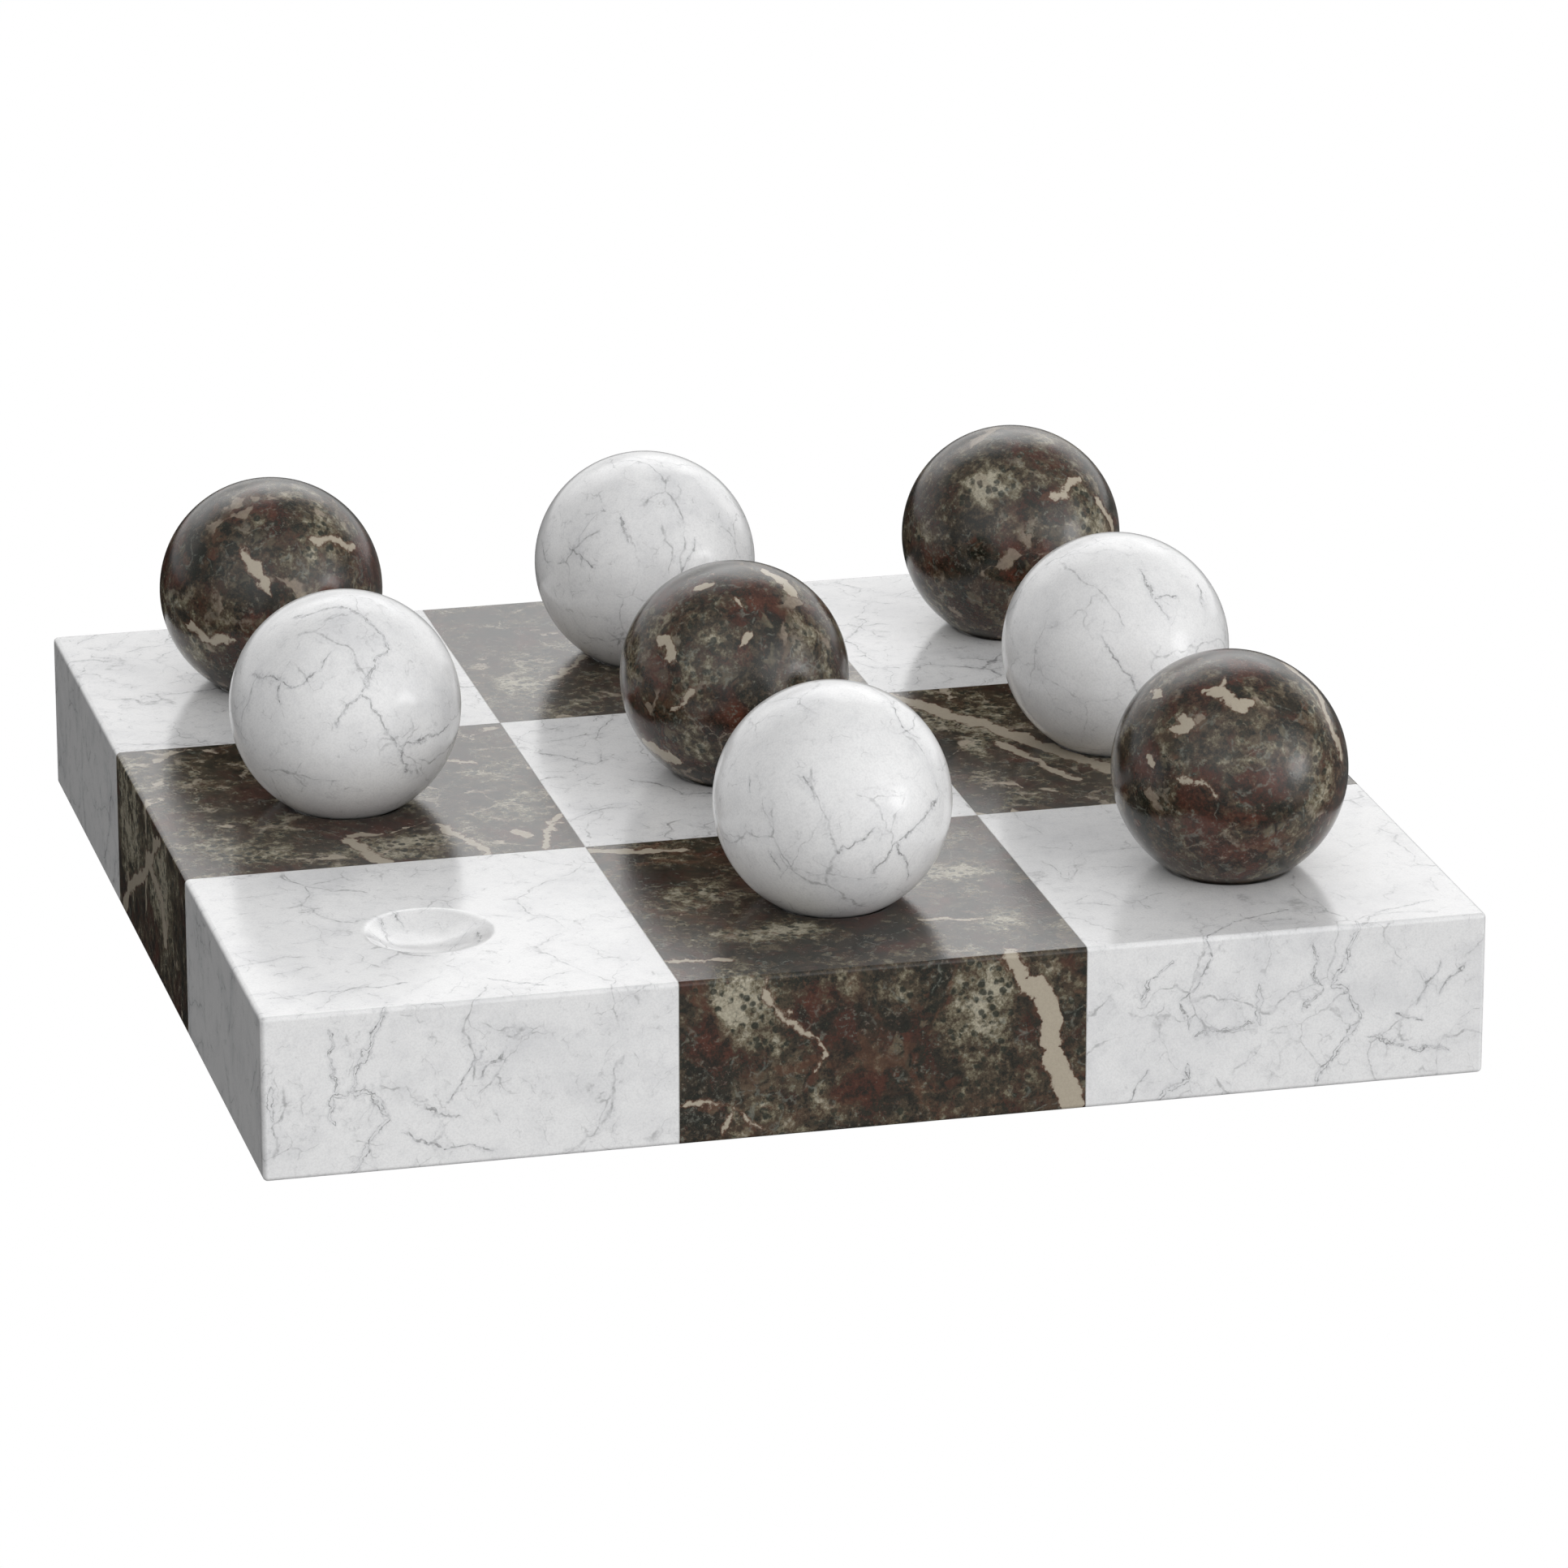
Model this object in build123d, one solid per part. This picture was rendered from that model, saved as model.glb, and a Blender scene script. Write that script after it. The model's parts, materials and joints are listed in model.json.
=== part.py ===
"""Marble tic tac toe set: a square board of nine bonded stone blocks with eight loose stone balls.

The board is a three by three chequer of white and dark marble blocks. Each block has a ground dish
in the middle of its top face, and a ball sits in every dish but the front left one. The blocks are
bonded side by side into three rows, and the rows to each other, with thin films of stone adhesive.
Five felt pads under the board keep the stone off the table.

Frame: millimetres, +Z up. The origin is on the table, under the middle of the board. +X is the
player's right and +Y points away from the player, so the front row is the one at the lowest Y.
"""

import os

from build123d import *

# Board
BLOCK_PITCH = 100.0  # from the middle of one block to the middle of the next
BLOCKS_PER_SIDE = 3
STONE_HEIGHT = 41.0
ARRIS_RADIUS = 1.2  # eased outer edges; the faces between blocks stay square
FILM_THICKNESS = 0.2  # adhesive between two blocks

# Balls and the dishes that hold them
BALL_RADIUS = 29.0
BALL_SINK = 4.1  # how far a seated ball reaches below the top face
SEAT_GAP = 0.3  # between a seated ball and its dish
LIP_RADIUS = 4.0  # eased rim of each dish

# Felt pads
PAD_RADIUS = 11.0
PAD_THICKNESS = 1.5
PAD_INSET = 25.0  # from a corner pad's middle to the two nearest sides
PAD_EDGE = 0.3  # small bevel round a pad's lower face

# Worked out from the above
BOARD_SIDE = BLOCK_PITCH * BLOCKS_PER_SIDE
TOP_FACE_Z = PAD_THICKNESS + STONE_HEIGHT
BALL_CENTRE_Z = TOP_FACE_Z + BALL_RADIUS - BALL_SINK
SEAT_RADIUS = BALL_RADIUS + SEAT_GAP
PAD_REACH = BOARD_SIDE / 2 - PAD_INSET

COLUMNS = ("left", "centre", "right")
ROWS = ("front", "middle", "back")
EMPTY_SEAT = ("front", "left")


def middle_of(index):
    """The X or Y of a block's middle, from its place along a side."""
    return (index - (BLOCKS_PER_SIDE - 1) / 2) * BLOCK_PITCH


def side_of(edge):
    """The X or Y of a joint between blocks: edge 0 and 3 are the board's sides, 1 and 2 the joints."""
    return (edge - BLOCKS_PER_SIDE / 2) * BLOCK_PITCH


def stone_colour(column, row):
    """Corner and middle blocks are white, and the four between them are dark."""
    return "white" if (column + row) % 2 == 0 else "dark"


def ball_colour(column, row):
    """A ball is always the colour that its block isn't."""
    return "dark" if stone_colour(column, row) == "white" else "white"


def board_envelope():
    """The whole board in one piece, with its outer edges eased and no dishes."""
    slab = Pos(0, 0, PAD_THICKNESS + STONE_HEIGHT / 2) * Box(BOARD_SIDE, BOARD_SIDE, STONE_HEIGHT)
    return fillet(slab.edges(), ARRIS_RADIUS)


def span(low, high):
    """The middle and the length of a stretch from low to high."""
    return (low + high) / 2, high - low


def cut_out(envelope, x_range, y_range):
    """The envelope between two X values and two Y values."""
    x_middle, x_length = span(*x_range)
    y_middle, y_length = span(*y_range)
    saw = Pos(x_middle, y_middle, TOP_FACE_Z / 2) * Box(x_length, y_length, 2 * TOP_FACE_Z)
    return envelope & saw


def between_joints(index):
    """The stretch that a block fills along a side, up to the films beside it."""
    low = side_of(index) + (FILM_THICKNESS / 2 if index > 0 else 0)
    high = side_of(index + 1) - (FILM_THICKNESS / 2 if index < BLOCKS_PER_SIDE - 1 else 0)
    return low, high


def film_at(edge):
    """The stretch that a film fills across a joint."""
    return side_of(edge) - FILM_THICKNESS / 2, side_of(edge) + FILM_THICKNESS / 2


def make_block(envelope, column, row):
    """One block with its dish ground in and the dish's rim eased."""
    raw = cut_out(envelope, between_joints(column), between_joints(row))
    grinder = Pos(middle_of(column), middle_of(row), BALL_CENTRE_Z) * Sphere(SEAT_RADIUS)
    ground = raw - grinder
    rim = ground.edges().filter_by(GeomType.CIRCLE).group_by(Axis.Z)[-1]
    rim = rim.filter_by(lambda edge: edge.radius > ARRIS_RADIUS * 2)
    return fillet(rim, LIP_RADIUS)


def make_ball(column, row):
    """One loose ball, where it sits in its dish."""
    return Pos(middle_of(column), middle_of(row), BALL_CENTRE_Z) * Sphere(BALL_RADIUS)


def make_pad(x, y):
    """One round felt pad, its lower edge softened, its lower face on the table."""
    disc = Pos(x, y, PAD_THICKNESS / 2) * Cylinder(PAD_RADIUS, PAD_THICKNESS)
    return chamfer(disc.edges().group_by(Axis.Z)[0], PAD_EDGE)


def make_films(envelope):
    """The adhesive: two films inside each row of blocks, then one between each pair of rows."""
    films = {}
    for row, row_name in enumerate(ROWS):
        for edge, side_name in ((1, "left"), (2, "right")):
            films[f"film_{row_name}_{side_name}"] = cut_out(envelope, film_at(edge), between_joints(row))
    whole = (-BOARD_SIDE / 2, BOARD_SIDE / 2)
    for edge, row_name in ((1, "front"), (2, "back")):
        films[f"film_between_rows_{row_name}"] = cut_out(envelope, whole, film_at(edge))
    return films


def make_parts():
    """Every separate piece, by its node's name."""
    envelope = board_envelope()
    parts = make_films(envelope)
    for row, row_name in enumerate(ROWS):
        for column, column_name in enumerate(COLUMNS):
            place = f"{row_name}_{column_name}"
            parts[f"{stone_colour(column, row)}_block_{place}"] = make_block(envelope, column, row)
            if (row_name, column_name) != EMPTY_SEAT:
                parts[f"{ball_colour(column, row)}_ball_{place}"] = make_ball(column, row)
    parts["felt_pad_centre"] = make_pad(0, 0)
    for row_name, y in (("front", -PAD_REACH), ("back", PAD_REACH)):
        for column_name, x in (("left", -PAD_REACH), ("right", PAD_REACH)):
            parts[f"felt_pad_{row_name}_{column_name}"] = make_pad(x, y)
    return parts


os.makedirs("parts", exist_ok=True)
for name, shape in make_parts().items():
    export_step(shape, f"parts/{name}.step")
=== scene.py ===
"""Visual model of a marble tic tac toe set: nine bonded stone blocks, eight loose balls, felt pads.

The board is a chequer of white and dark marble blocks, each with a ground dish in its top face. Each
ball is turned from the other stone than the block it sits on. Every mesh is built in metres, in the
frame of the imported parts: the origin is on the table under the middle of the board, +X is the
player's right, +Y points away from the player and +Z is up. Patterns are laid out in millimetres.
"""

import json
import logging
import math
from dataclasses import dataclass, field
from enum import Enum
from typing import Iterable, Mapping, Optional, Union

import bmesh
import bpy
from mathutils import Matrix, Vector


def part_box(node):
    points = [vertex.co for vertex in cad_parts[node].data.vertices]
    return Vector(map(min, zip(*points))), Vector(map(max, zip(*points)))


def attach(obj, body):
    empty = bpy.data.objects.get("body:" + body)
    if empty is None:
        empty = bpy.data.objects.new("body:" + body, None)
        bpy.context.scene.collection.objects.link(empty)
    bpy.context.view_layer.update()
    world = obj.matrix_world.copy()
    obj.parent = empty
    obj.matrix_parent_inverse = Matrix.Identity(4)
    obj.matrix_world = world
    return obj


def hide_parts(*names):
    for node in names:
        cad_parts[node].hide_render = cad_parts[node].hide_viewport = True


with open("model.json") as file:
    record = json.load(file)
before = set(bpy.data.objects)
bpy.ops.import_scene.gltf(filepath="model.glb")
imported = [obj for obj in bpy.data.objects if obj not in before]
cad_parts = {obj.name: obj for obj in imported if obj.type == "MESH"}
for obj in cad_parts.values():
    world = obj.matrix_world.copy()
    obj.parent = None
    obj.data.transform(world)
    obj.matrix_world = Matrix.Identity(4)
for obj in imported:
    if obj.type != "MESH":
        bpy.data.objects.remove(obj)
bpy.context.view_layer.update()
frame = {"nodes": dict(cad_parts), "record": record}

MM = 0.001  # metres in a millimetre
STRENGTH_LAYER = "__mod_weightednormals_faceweight"  # read by the Weighted Normal modifier
STRONG = 16384
WEAK = -16384
WELD = 1e-6  # metres; corners closer than this are made one
TINY = 1e-7  # metres; a difference too small to count
HALF_BLOCK = 50.0  # from a block's middle to its sides, in millimetres
BALL_RADIUS = 29.0  # in millimetres
HAIRLINE = 0.12  # half the width of a hairline crack on a block, in millimetres
FINE_HAIRLINE = 0.10  # the same on a ball

Triple = tuple[float, float, float]
Spot = tuple[float, float]

log = logging.getLogger("tic_tac_toe_set")


class Stone(Enum):
    """The two marbles of the set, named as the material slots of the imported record."""

    WHITE = "white_marble"
    DARK = "dark_marble"

    @classmethod
    def of(cls, node: str) -> "Stone":
        """Returns the stone that a node's name starts with."""
        return cls.WHITE if node.startswith("white") else cls.DARK


class Side(Enum):
    """The four upright sides of the board, with the axis and direction that each faces."""

    LEFT = (0, -1)
    RIGHT = (0, 1)
    FRONT = (1, -1)
    BACK = (1, 1)


class Signal:
    """One socket of a node tree, on which Python arithmetic adds Math nodes."""

    def __init__(self, tree: "Tree", socket: Optional[bpy.types.NodeSocket]) -> None:
        """Keeps an output socket, or None for a node that ends a tree, and the tree it belongs to."""
        self.tree = tree
        self.socket = socket

    def maths(self, operation: str, first: "Value", second: "Value" = 0.0) -> "Signal":
        """Adds one Math node, and returns its result."""
        return self.tree.add("ShaderNodeMath", {"operation": operation}, {0: first, 1: second})

    def __add__(self, other: "Value") -> "Signal":
        """Returns self + other."""
        return self.maths("ADD", self, other)

    def __radd__(self, other: "Value") -> "Signal":
        """Returns other + self."""
        return self.maths("ADD", other, self)

    def __sub__(self, other: "Value") -> "Signal":
        """Returns self - other."""
        return self.maths("SUBTRACT", self, other)

    def __rsub__(self, other: "Value") -> "Signal":
        """Returns other - self."""
        return self.maths("SUBTRACT", other, self)

    def __mul__(self, other: "Value") -> "Signal":
        """Returns self * other."""
        return self.maths("MULTIPLY", self, other)

    def __rmul__(self, other: "Value") -> "Signal":
        """Returns other * self."""
        return self.maths("MULTIPLY", other, self)

    def __abs__(self) -> "Signal":
        """Returns the signal without its sign."""
        return self.maths("ABSOLUTE", self)

    def at_least(self, other: "Value") -> "Signal":
        """Returns the larger of the signal and another."""
        return self.maths("MAXIMUM", self, other)

    def at_most(self, other: "Value") -> "Signal":
        """Returns the smaller of the signal and another."""
        return self.maths("MINIMUM", self, other)


Value = Union[Signal, float, int]
Colour = Union[Signal, Triple]


class Tree:
    """The node tree of a material or of the world, and the few nodes that stone needs.

    Coordinates and the sizes of patterns are in millimetres. A size is that of the largest lumps, detail
    is the number of finer layers, and rough is how strong each of them is beside the one before.
    """

    def __init__(self, holder: Union[bpy.types.Material, bpy.types.World]) -> None:
        """Empties the holder's node tree.

        Args:
            holder: The material or world whose tree is built.
        """
        holder.use_nodes = True
        self.nodes = holder.node_tree.nodes
        self.links = holder.node_tree.links
        self.nodes.clear()

    def add(
        self,
        kind: str,
        settings: Optional[Mapping[str, object]] = None,
        inputs: Optional[Mapping[Union[int, str], object]] = None,
        output: Union[int, str] = 0,
    ) -> Signal:
        """Adds one node of any type.

        Args:
            kind: The node's type, such as ShaderNodeTexNoise.
            settings: The node's properties, which are set first; stops gives a ramp's colours.
            inputs: Its sockets, by name or number, with the value or the signal that each takes.
            output: The name or number of the socket to return.

        Returns:
            The chosen output.
        """
        node = self.nodes.new(kind)
        for name, setting in (settings or {}).items():
            if name == "stops":
                self.set_stops(node.color_ramp, setting)
            else:
                setattr(node, name, setting)
        for name, value in (inputs or {}).items():
            if isinstance(value, Signal):
                self.links.new(value.socket, node.inputs[name])
            else:
                node.inputs[name].default_value = value
        return Signal(self, node.outputs[output] if node.outputs else None)

    @staticmethod
    def set_stops(ramp: bpy.types.ColorRamp, stops: Iterable[tuple[float, Triple]]) -> None:
        """Gives a colour ramp its stops.

        Args:
            ramp: The ramp of a Color Ramp node.
            stops: Positions from 0 to 1 in rising order, each with its colour.
        """
        stops = list(stops)
        while len(ramp.elements) < len(stops):
            ramp.elements.new(1.0)
        for element, (position, colour) in zip(ramp.elements, stops):
            element.position = position
            element.color = (*colour, 1.0)

    def noise(
        self, place: Signal, size: float, detail: float = 2.0, rough: float = 0.5, output: int = 0
    ) -> Signal:
        """Adds noise round 0.5, as one value, or as three where output is 1."""
        inputs = {"Vector": place, "Scale": 1.0 / size, "Detail": detail, "Roughness": rough}
        return self.add("ShaderNodeTexNoise", {}, inputs, output)

    def cells(self, place: Signal, size: float, feature: str = "F1", output: int = 0) -> Signal:
        """Adds irregular cells: a distance, in cell sizes, or each cell's colour where output is 1."""
        inputs = {"Vector": place, "Scale": 1.0 / size}
        return self.add("ShaderNodeTexVoronoi", {"feature": feature}, inputs, output)

    def border(self, place: Signal, size: float) -> Signal:
        """Measures the way to the nearest border between irregular cells, in millimetres."""
        return self.cells(place, size, "DISTANCE_TO_EDGE") * size

    def ramp(
        self, value: Value, low: Value, high: Value, start: float = 0.0, finish: float = 1.0
    ) -> Signal:
        """Adds a smooth change from start to finish, while the value goes from low to high."""
        inputs = {"Value": value, "From Min": low, "From Max": high, "To Min": start, "To Max": finish}
        return self.add("ShaderNodeMapRange", {"interpolation_type": "SMOOTHSTEP"}, inputs)

    def mix(self, base: Colour, other: Colour, share: Value, mode: str = "MIX") -> Signal:
        """Lays one colour over another.

        Args:
            base: The colour where share is 0.
            other: The colour where share is 1.
            share: How much of the other colour shows.
            mode: The blend type, such as MULTIPLY.

        Returns:
            The mixed colour.
        """
        slots = {0: share, 6: base, 7: other}
        inputs = {k: (*v, 1.0) if isinstance(v, tuple) else v for k, v in slots.items()}
        settings = {"data_type": "RGBA", "blend_type": mode, "clamp_factor": True}
        return self.add("ShaderNodeMix", settings, inputs, 2)

    def vector(self, operation: str, first: object, second: object, output: int = 0) -> Signal:
        """Adds one Vector Math node, and returns its vector, or its value where output is 1."""
        settings = {"operation": operation}
        return self.add("ShaderNodeVectorMath", settings, {0: first, 1: second}, output)

    def placed(self, place: Signal, move: Triple, turn: Triple = (0, 0, 0), scale: float = 1.0) -> Signal:
        """Scales, turns and then moves coordinates.

        Args:
            place: The coordinates.
            move: How far they move, in the new units.
            turn: The turns about X, Y and Z, in degrees.
            scale: The new units in one old unit.

        Returns:
            The new coordinates.
        """
        angles = tuple(math.radians(angle) for angle in turn)
        inputs = {"Vector": place, "Location": move, "Rotation": angles, "Scale": (scale, scale, scale)}
        return self.add("ShaderNodeMapping", {"vector_type": "POINT"}, inputs)

    def push(self, place: Signal, size: float, reach: float, detail: float = 2.0) -> Signal:
        """Adds a field of small moves.

        Args:
            place: The coordinates, in millimetres.
            size: The size of the waves, in millimetres.
            reach: How far they push, in millimetres.
            detail: The number of finer layers.

        Returns:
            The move at each place, in millimetres.
        """
        lumps = self.noise(place, size, detail, 0.55, 1)
        centred = self.vector("SUBTRACT", lumps, (0.5, 0.5, 0.5))
        return self.vector("MULTIPLY", centred, (2 * reach, 2 * reach, 2 * reach))

    def stirred(self, place: Signal, size: float, reach: float, detail: float = 2.0) -> Signal:
        """Pushes coordinates about, so that what they carry turns wavy."""
        return self.vector("ADD", place, self.push(place, size, reach, detail))


@dataclass(frozen=True)
class Vein:
    """A stretch of a vein or crack, which runs down into the stone as a sheet.

    Places and lengths are millimetres from the piece's own middle: the middle of a block's top face,
    or the centre of a ball.
    """

    middle: Triple
    across: Triple  # the direction through the sheet, with a length of 1
    half_length: float
    half_width: float
    tip: float = 2.0  # how far its ends taper past its length

    @classmethod
    def joining(cls, start: Triple, end: Triple, into: Triple, half_width: float) -> "Vein":
        """Lays a vein between two points of a surface.

        Args:
            start: The first point.
            end: The second point.
            into: The direction in which the vein runs down into the stone.
            half_width: Half its width.

        Returns:
            The vein.
        """
        first, last = Vector(start), Vector(end)
        way = last - first
        across = way.cross(Vector(into)).normalized()
        return cls(tuple((first + last) / 2), tuple(across), way.length / 2, half_width)

    def outside(self, tree: Tree, ragged: Signal, rim: float) -> Signal:
        """Measures the way to the vein.

        Args:
            tree: The tree of the material.
            ragged: The piece's own coordinates, stirred, in millimetres.
            rim: How far beside the vein still counts, in millimetres.

        Returns:
            The distance in millimetres, which is below 0 in the vein and at least rim past its ends.
        """
        offset = tree.vector("SUBTRACT", ragged, self.middle)
        far = tree.vector("LENGTH", offset, (0, 0, 0), 1)
        gap = abs(tree.vector("DOT_PRODUCT", offset, self.across, 1))
        ends = (self.half_length + self.tip, self.half_length - self.tip / 2)
        return gap - tree.ramp(far, *ends, -rim, self.half_width)


@dataclass(frozen=True)
class Patch:
    """A lump of the dark marble, in millimetres from the piece's own middle.

    It holds more of the pale paste than the stone round it, or less where its strength is below 0.
    """

    middle: Triple
    radii: Triple
    strength: float = 1.0
    core: float = 0.3  # how much of it, from the middle, is at full strength
    fade: float = 1.2  # where it has faded out, beside its radii

    def show(self, tree: Tree, ragged: Signal) -> Signal:
        """Adds the patch's mask.

        Args:
            tree: The tree of the material.
            ragged: The piece's own coordinates, stirred, in millimetres.

        Returns:
            The patch's strength in its middle, and 0 outside it.
        """
        offset = tree.vector("SUBTRACT", ragged, self.middle)
        scaled = tree.vector("DIVIDE", offset, self.radii)
        far = tree.vector("LENGTH", scaled, (0, 0, 0), 1)
        return tree.ramp(far, self.fade, self.core, 0.0, self.strength)


@dataclass(frozen=True)
class Cut:
    """Where in the quarry's stone a piece was cut, and the bold features that it happens to hold."""

    offset: Triple = (0.0, 0.0, 0.0)
    turn: Triple = (0.0, 0.0, 0.0)
    veins: tuple[Vein, ...] = ()
    patches: tuple[Patch, ...] = ()
    clasts: tuple[Patch, ...] = ()  # whole red lumps in the dark marble
    cracks: float = 1.0  # how plainly the white stone's own cracks show
    seams: float = 1.0  # how plainly the dark stone's own cream veins show


@dataclass(frozen=True)
class Finish:
    """What every finish has: its names, its coordinates, and the one shader that it ends in."""

    word: str = ""  # which ends the names of its materials and pieces
    slot: str = ""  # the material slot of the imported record

    def start(self, name: str, middle: Triple) -> tuple[bpy.types.Material, Tree, Signal]:
        """Makes a material and its coordinates.

        Args:
            name: The material's name.
            middle: The piece's own middle, in metres.

        Returns:
            The material, its tree, and coordinates in millimetres from the middle.
        """
        material = bpy.data.materials.new(name)
        tree = Tree(material)
        place = tree.add("ShaderNodeTexCoord", output="Object")
        local = tree.placed(place, tuple(-c / MM for c in middle), scale=1 / MM)
        return material, tree, local

    @staticmethod
    def nearest(tree: Tree, ragged: Signal, veins: Iterable[Vein], rim: float) -> Signal:
        """Measures the way to the nearest of a piece's own veins.

        Args:
            tree: The tree of the material.
            ragged: The piece's own coordinates, stirred, in millimetres.
            veins: The veins.
            rim: How far beside a vein still counts, in millimetres.

        Returns:
            The distance in millimetres, which is below 0 in a vein.
        """
        distance = tree.add("ShaderNodeValue")
        distance.socket.default_value = 2 * rim
        for vein in veins:
            distance = distance.at_most(vein.outside(tree, ragged, rim))
        return distance

    def close(
        self,
        tree: Tree,
        colour: Colour,
        rough: Value,
        height: Signal,
        depth: float,
        sockets: Optional[Mapping[str, object]] = None,
    ) -> None:
        """Ends a tree in a Principled shader.

        Args:
            tree: The tree of the material.
            colour: The base colour.
            rough: The roughness.
            height: The relief of the surface, from 0 to 1.
            depth: The height of that relief, in millimetres.
            sockets: Constants for the shader's other sockets.
        """
        bump = tree.add(
            "ShaderNodeBump", {}, {"Strength": 1.0, "Distance": depth * MM, "Height": height}
        )
        inputs = {"Base Color": colour, "Roughness": rough, "Normal": bump, **(sockets or {})}
        shader = tree.add("ShaderNodeBsdfPrincipled", {}, inputs)
        tree.add("ShaderNodeOutputMaterial", {}, {"Surface": shader})


@dataclass(frozen=True)
class CrackNet:
    """A net of ragged cracks that comes and goes, in millimetres."""

    size: float  # of the stone between cracks
    width: float
    gaps: float  # the share of the net that is missing, from 0 to 1
    strength: float

    def show(
        self, tree: Tree, place: Signal, jitter: Signal, swell: Signal
    ) -> tuple[Signal, Signal]:
        """Adds the net's masks.

        Args:
            tree: The tree of the material.
            place: The stone's coordinates, in millimetres.
            jitter: Small moves that make a crack ragged, in millimetres.
            swell: Where a crack widens, from 0 to 1.

        Returns:
            The cracks, and the bruised stone on both sides of them.
        """
        bent = tree.stirred(place, self.size * 0.9, self.size * 0.35, 3.0)
        ragged = tree.vector("ADD", bent, jitter)
        edge = tree.border(ragged, self.size)
        there = tree.ramp(tree.noise(bent, self.size * 0.6, 2.0), self.gaps, self.gaps + 0.10)
        line = tree.ramp(edge, (swell + 0.5) * self.width, self.width * 0.1)
        beside = tree.ramp(edge, 3.0, 0.3) * there
        return line * there * self.strength, beside * self.strength


@dataclass(frozen=True)
class CrackTone:
    """How strongly a crack and the bruised stone on both sides of it show, from 0 to 1."""

    halo: float
    flecks: float
    line: float
    core: float


@dataclass(frozen=True)
class WhiteMarble(Finish):
    """Polished white marble with bluish clouds and a broken net of thin grey cracks.

    Sizes are those of the largest lumps of a pattern, in millimetres.
    """

    word: str = "marble"
    slot: str = Stone.WHITE.value
    clear: Triple = (0.87, 0.87, 0.87)
    cloud: Triple = (0.60, 0.605, 0.625)
    crack: Triple = (0.10, 0.10, 0.10)
    faint: Triple = (0.36, 0.362, 0.37)
    crystal: Triple = (0.55, 0.55, 0.56)
    drift_size: float = 20.0
    cloud_size: float = 26.0
    haze_size: float = 7.0
    dash_size: float = 2.0
    fleck_size: float = 1.3
    jitter_size: float = 2.5
    swell_size: float = 5.0
    crystal_size: float = 0.5
    polish: float = 0.09  # the roughness of the smoothest crystals
    relief: float = 0.008  # of the crystals, in millimetres
    bruise: float = 1.2  # how far the stone is bruised beside a bold crack, in millimetres
    line_width: float = 0.17  # of the line along each side of a bold crack, in millimetres
    net_tone: CrackTone = CrackTone(0.30, 0.40, 0.55, 0.70)
    bold_tone: CrackTone = CrackTone(0.30, 0.45, 0.40, 0.65)
    nets: tuple[CrackNet, ...] = (
        CrackNet(36.0, 0.50, 0.46, 0.9),
        CrackNet(20.0, 0.34, 0.48, 0.65),
        CrackNet(9.0, 0.24, 0.50, 0.4),
        CrackNet(4.5, 0.18, 0.53, 0.25),
    )

    def dress(self, name: str, middle: Triple, cut: Cut) -> bpy.types.Material:
        """Makes the marble of one piece.

        Args:
            name: The material's name.
            middle: The piece's own middle, in metres.
            cut: Where the piece was cut from the stone.

        Returns:
            The material.
        """
        material, tree, local = self.start(name, middle)
        place = tree.placed(local, cut.offset, cut.turn)
        drift = tree.stirred(place, self.drift_size, 6.0, 4.0)
        clouds = tree.ramp(tree.noise(drift, self.cloud_size, 6.0, 0.62), 0.44, 0.80)
        haze = tree.ramp(tree.noise(drift, self.haze_size, 6.0, 0.7), 0.48, 0.80)
        colour = tree.mix(self.clear, self.cloud, clouds * 0.5 + haze * 0.25)
        dashes = tree.ramp(tree.noise(place, self.dash_size, 3.0, 0.6), 0.42, 0.60)
        flecks = tree.ramp(tree.noise(place, self.fleck_size, 3.0, 0.65), 0.53, 0.66)
        jitter = tree.push(place, self.jitter_size, 0.9, 4.0)
        swell = tree.ramp(tree.noise(place, self.swell_size, 3.0), 0.35, 0.75)
        for net in self.nets:
            line, beside = net.show(tree, place, jitter, swell)
            masks = (line, beside, flecks, dashes)
            colour = self.draw(tree, colour, masks, self.net_tone, cut.cracks)
        if cut.veins:
            ragged = tree.vector("ADD", tree.stirred(local, 7.0, 3.5, 6.0), jitter)
            near = self.nearest(tree, ragged, cut.veins, self.bruise)
            line = tree.ramp(abs(near), self.line_width, 0.03)
            beside = tree.ramp(near, self.bruise, 0.0)
            colour = self.draw(tree, colour, (line, beside, flecks, dashes), self.bold_tone)
        crystals = tree.noise(place, self.crystal_size, 2.0, 0.7)
        colour = tree.mix(colour, self.crystal, tree.ramp(crystals, 0.35, 0.72) * 0.27)
        self.close(tree, colour, self.polish + crystals * 0.12, crystals, self.relief)
        return material

    def draw(
        self, tree: Tree, colour: Signal, masks: tuple[Signal, ...], tone: CrackTone, share: float = 1.0
    ) -> Signal:
        """Draws cracks over the stone.

        Args:
            tree: The tree of the material.
            colour: The colour so far.
            masks: The cracks, the stone beside them, the flecks in it and the dashes of the cracks.
            tone: How strongly each of them shows.
            share: How much of that this piece shows.

        Returns:
            The new colour.
        """
        line, beside, flecks, dashes = masks
        colour = tree.mix(colour, self.cloud, beside * (tone.halo * share))
        colour = tree.mix(colour, self.faint, beside * flecks * (tone.flecks * share))
        colour = tree.mix(colour, self.faint, line * (tone.line * share))
        return tree.mix(colour, self.crack, line * dashes * (tone.core * share))


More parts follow.
